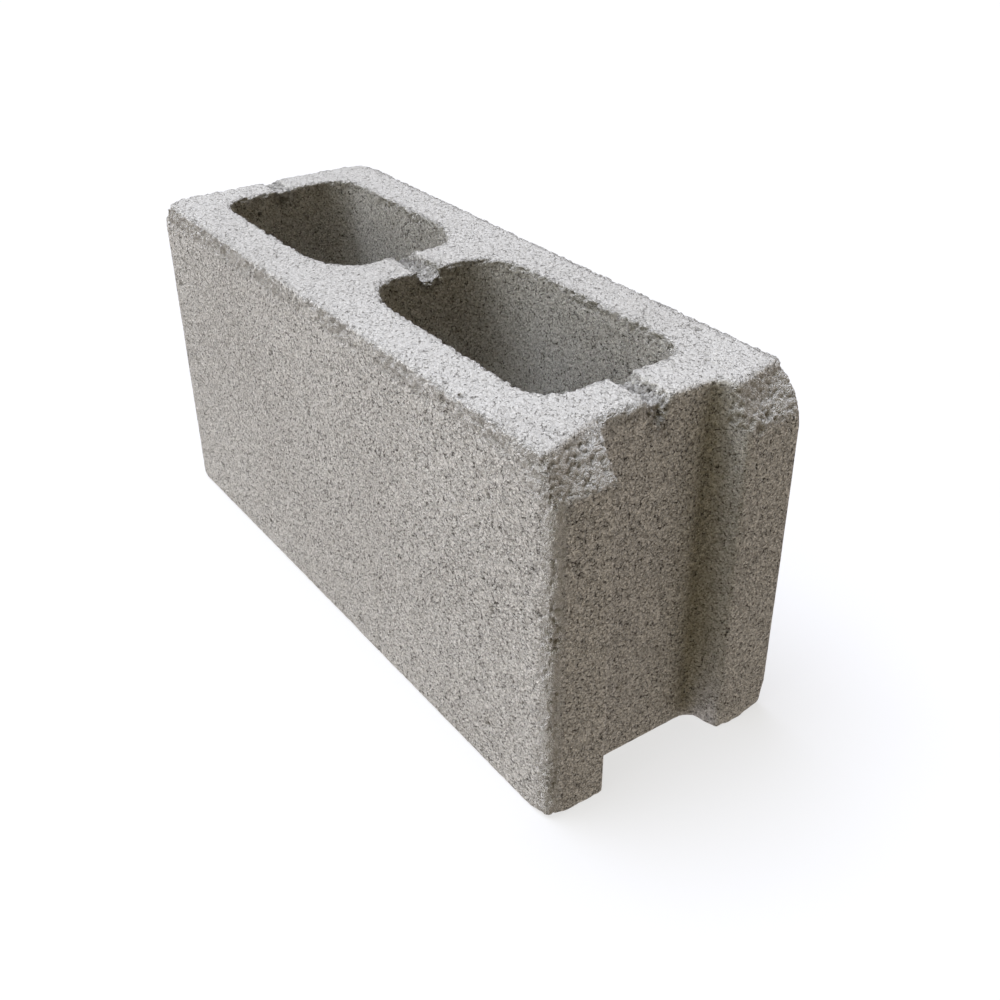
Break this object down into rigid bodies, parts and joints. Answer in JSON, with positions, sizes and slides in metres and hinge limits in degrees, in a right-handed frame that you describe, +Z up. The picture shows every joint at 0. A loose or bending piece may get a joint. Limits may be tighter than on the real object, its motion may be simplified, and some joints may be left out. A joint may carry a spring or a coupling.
{
  "type": "concrete block",
  "caption": "Hollow concrete masonry block, plain at one end and eared around a full-height recess at the other, with flared, tapering cores.",
  "frame": {"origin": "middle of the lower bed, so the block stands on a floor at Z = 0 as it is laid", "axes": "+X along the block towards its eared end, +Y across its width, +Z up along the cores"},
  "size_m": [0.39, 0.14, 0.19],
  "materials": {
    "concrete": "dry-cast concrete, open sandy grain, matt"
  },
  "bodies": {
    "root": {"hollow_block": "concrete"}
  },
  "joints": []
}
